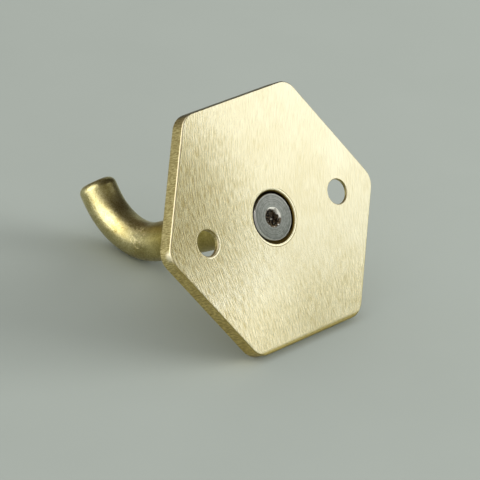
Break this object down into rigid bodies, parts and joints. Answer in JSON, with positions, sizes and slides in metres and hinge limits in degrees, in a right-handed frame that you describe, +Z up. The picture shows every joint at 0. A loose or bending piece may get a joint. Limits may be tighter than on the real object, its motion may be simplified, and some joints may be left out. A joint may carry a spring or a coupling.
{
  "type": "wall hook",
  "caption": "Hexagonal brass wall hook: flat six-sided back plate with one round rod arm bent upward at its end, clamped from behind by a countersunk socket screw.",
  "frame": {"origin": "centre of the plate's back face, on the arm's axis", "axes": "+Y into the wall, square to the back face; +Z up, the way the arm's tip points; +X to the right for someone who faces the wall. The arm stands out towards -Y."},
  "size_m": [0.0678, 0.0661, 0.06],
  "materials": {
    "brushed_brass": "hand brushed, uncoated",
    "satin_brass": "satin, tumbled",
    "steel": "turned, plain"
  },
  "bodies": {
    "root": {"back_plate": "brushed_brass", "hook_arm": "satin_brass", "fixing_screw": "steel"}
  },
  "joints": []
}
